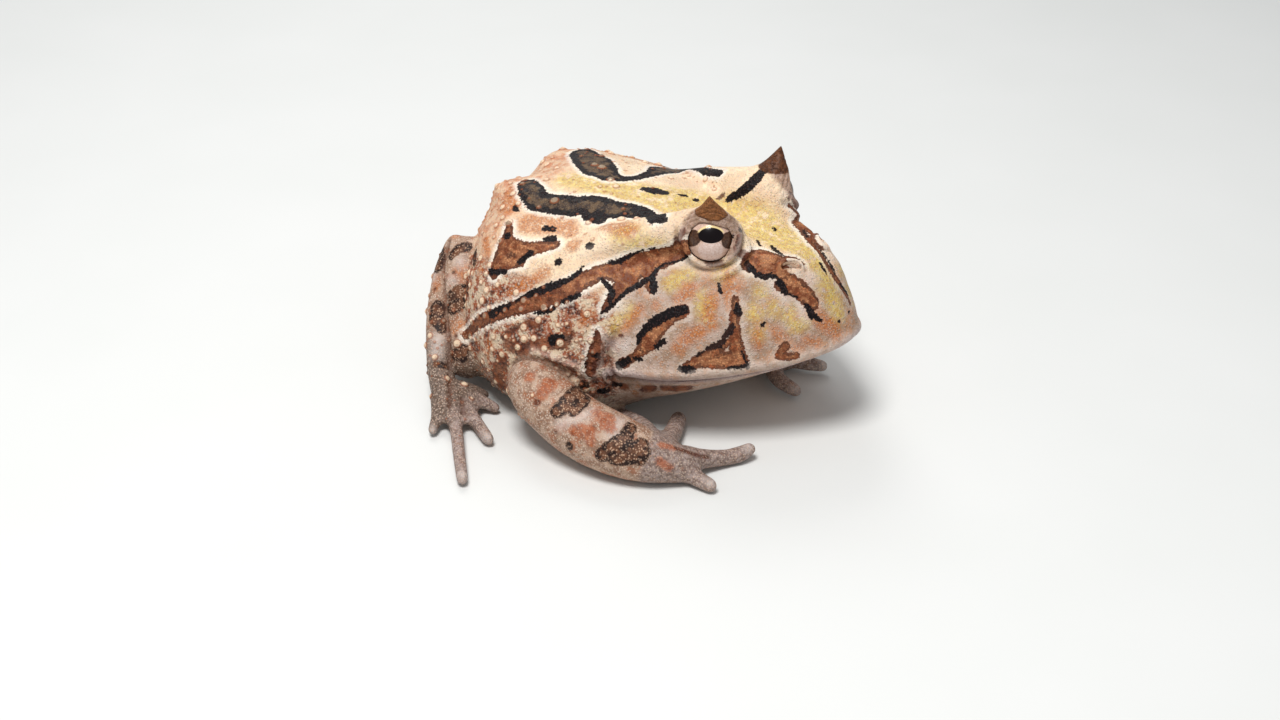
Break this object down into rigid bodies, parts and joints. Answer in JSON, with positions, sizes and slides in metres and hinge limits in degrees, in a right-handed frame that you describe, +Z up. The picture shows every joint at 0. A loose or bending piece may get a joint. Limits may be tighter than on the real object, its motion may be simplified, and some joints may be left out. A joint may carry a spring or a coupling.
{
  "type": "horned frog figure",
  "caption": "Still, life-size figure of a broad-mouthed horned frog sitting on its belly, with forelegs bent forward, hind feet at its sides and a pointed flap of skin over each eye.",
  "frame": {"origin": "on the floor under the chest, on the flat underside of the trunk", "axes": "+X towards the snout, +Y to the frog's left, +Z up"},
  "size_m": [0.0962, 0.1294, 0.056],
  "materials": {
    "skin": "moist granular skin of trunk and head",
    "limb_skin": "moist granular skin of the legs",
    "eye": "wet, glossy eyeball, opaque",
    "horn": "soft pointed flap of skin"
  },
  "bodies": {
    "root": {"torso": "skin", "head": "skin", "lower_jaw": "skin", "eye_right": "eye", "eye_left": "eye", "horn_right": "horn", "horn_left": "horn", "upper_arm_right": "limb_skin", "upper_arm_left": "limb_skin", "forearm_right": "limb_skin", "forearm_left": "limb_skin", "hand_right": "limb_skin", "hand_left": "limb_skin", "thigh_right": "limb_skin", "thigh_left": "limb_skin", "shank_right": "limb_skin", "shank_left": "limb_skin", "tarsus_right": "limb_skin", "tarsus_left": "limb_skin", "foot_right": "limb_skin", "foot_left": "limb_skin"}
  },
  "joints": []
}
